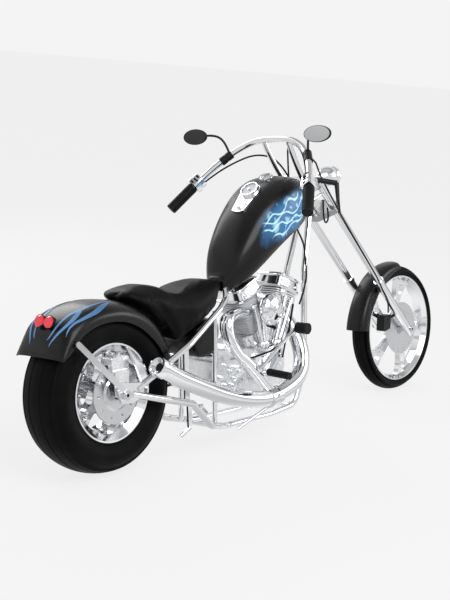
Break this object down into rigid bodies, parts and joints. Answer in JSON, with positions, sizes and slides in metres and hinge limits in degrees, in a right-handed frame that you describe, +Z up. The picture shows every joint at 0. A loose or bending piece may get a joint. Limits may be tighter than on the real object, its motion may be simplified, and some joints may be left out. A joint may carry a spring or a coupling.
{
  "type": "rigid-frame custom motorcycle",
  "caption": "Long-fork custom motorcycle with a rigid tube frame, vee engine, wide rear tyre, teardrop tank and side stand.",
  "frame": {"origin": "centre of the bounding box's base, on the floor that the parked machine stands on", "axes": "+X forward, +Y to the rider's left, +Z up; the machine leans to its left on its side stand"},
  "size_m": [2.854, 0.9366, 1.4533],
  "materials": {
    "tyre": "matte black rubber",
    "chrome": "bright chrome",
    "alloy": "polished alloy",
    "steel": "brushed steel",
    "black_paint": "gloss black paint",
    "black_metal": "satin black metal",
    "leather": "smooth black leather",
    "rubber": "black rubber",
    "red_lens": "clear red lens",
    "lamp_glass": "clear lamp glass",
    "mirror_glass": "mirror glass"
  },
  "bodies": {
    "chassis": {"frame_spine": "chrome", "frame_loops": "chrome", "frame_stays": "chrome", "frame_posts": "chrome", "frame_plates": "chrome", "rear_axle": "steel", "stand_bracket": "steel", "rear_fender": "black_paint", "fender_strut": "chrome", "tail_lamp_housing": "black_metal", "tail_lamp_lenses": "red_lens", "fuel_tank": "black_paint", "tank_dash": "chrome", "fuel_cap": "chrome", "seat": "leather", "oil_tank": "black_paint", "crankcase": "alloy", "cylinders": "alloy", "rocker_covers": "chrome", "gearbox": "alloy", "cam_cover": "chrome", "primary_cover": "chrome", "engine_pulley": "steel", "drive_belt": "rubber", "pushrod_tubes": "chrome", "carburettor": "alloy", "air_cleaner": "chrome", "front_exhaust": "chrome", "rear_exhaust": "chrome", "rear_caliper": "alloy", "foot_controls": "chrome", "foot_rubbers": "rubber", "engine_hose": "rubber"},
    "front_end": {"lower_yoke": "alloy", "upper_yoke": "alloy", "fork_tubes": "chrome", "fork_sliders": "chrome", "front_axle": "steel", "handlebar": "chrome", "grips": "rubber", "switch_housings": "chrome", "brake_lever": "black_metal", "mirrors": "black_metal", "headlamp_shell": "chrome", "headlamp_lens": "lamp_glass", "front_fender": "black_paint", "front_caliper": "black_metal", "brake_hose": "rubber"},
    "front_wheel": {"front_tyre": "tyre", "front_rim": "chrome", "front_brake_disc": "steel"},
    "rear_wheel": {"rear_tyre": "tyre", "rear_rim": "chrome", "rear_brake_disc": "steel", "rear_pulley": "alloy"},
    "side_stand": {"side_stand": "chrome"}
  },
  "joints": [
    {"name": "steering", "type": "hinge", "parent": "chassis", "child": "front_end", "pos_m": [0.32875, -0.00867, 1.03397], "axis": [-0.6959, 0.0999, 0.7111], "range_deg": [-26, 26]},
    {"name": "front_wheel_spin", "type": "hinge", "parent": "front_end", "child": "front_wheel", "pos_m": [1.092, -0.10729, 0.33228], "axis": [0, 0.9903, -0.1392], "continuous": true},
    {"name": "rear_wheel_spin", "type": "hinge", "parent": "chassis", "child": "rear_wheel", "pos_m": [-1.088, -0.10649, 0.33794], "axis": [0, 0.9903, -0.1392], "continuous": true},
    {"name": "side_stand_fold", "type": "hinge", "parent": "chassis", "child": "side_stand", "pos_m": [-0.288, 0.0242, 0.08226], "axis": [0.1693, 0.4525, 0.8756], "range_deg": [0, 104.26]}
  ]
}
